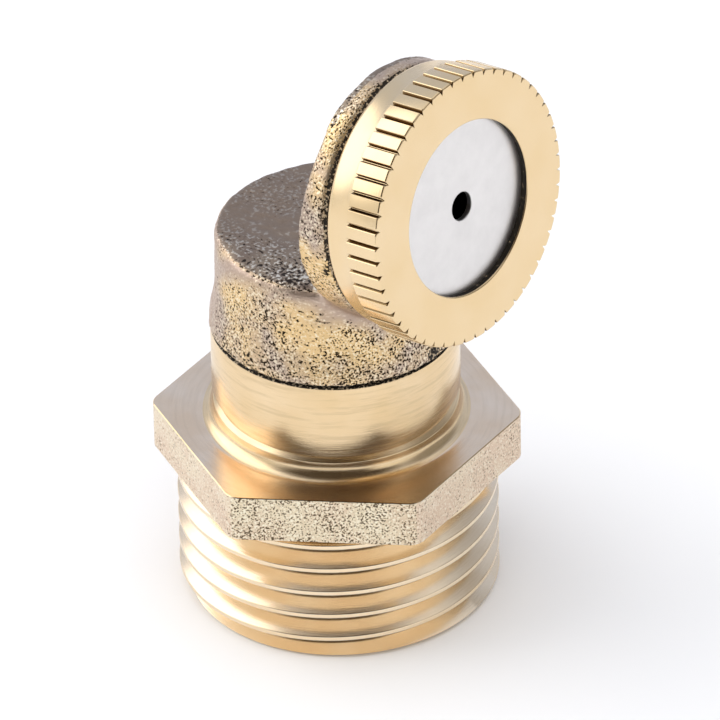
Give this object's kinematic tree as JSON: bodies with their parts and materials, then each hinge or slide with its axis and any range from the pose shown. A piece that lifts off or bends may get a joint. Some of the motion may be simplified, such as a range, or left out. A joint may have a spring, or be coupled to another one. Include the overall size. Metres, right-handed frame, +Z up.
{
  "type": "spray nozzle",
  "caption": "Brass spray nozzle with male pipe thread, hexagon, turned neck, angled head and knurled cap that clamps a steel orifice disc.",
  "frame": {"origin": "centre of the threaded end face, where the inlet opens", "axes": "+Z up the stem from the thread to the head; +X towards the side the head sprays to; the spray axis lies in the XZ plane, 8.19 degrees above +X"},
  "size_m": [0.0236, 0.0238, 0.042],
  "materials": {
    "cast_brass": "bright turned thread and neck, grainy as-cast head and hexagon sides",
    "turned_brass": "bright turned, satin front face",
    "stainless_disc": "satin stamped sheet",
    "core_brass": "turned",
    "black_rubber": "matt",
    "strainer_steel": "perforated sheet",
    "collar_brass": "stamped",
    "spring_steel": "oiled spring steel"
  },
  "bodies": {
    "nozzle": {"nozzle_body": "cast_brass", "core_gasket": "black_rubber", "strainer_thimble": "strainer_steel", "strainer_collar": "collar_brass", "snap_ring": "spring_steel"},
    "insert": {"orifice_disc": "stainless_disc", "swirl_core": "core_brass"},
    "cap": {"knurled_cap": "turned_brass"}
  },
  "joints": [
    {"name": "insert_travel", "type": "slide", "parent": "nozzle", "child": "insert", "axis": [0.9898, 0, 0.1425], "range_m": [0, 0.0025]},
    {"name": "cap_unscrew", "type": "hinge", "parent": "insert", "child": "cap", "pos_m": [0.01134, 0, 0.03308], "axis": [0.9898, 0, 0.1425], "range_deg": [0, 900]}
  ],
  "couplings": [
    {"joint": "insert_travel", "follows": "cap_unscrew", "m_per_rad": 0.00015915}
  ]
}
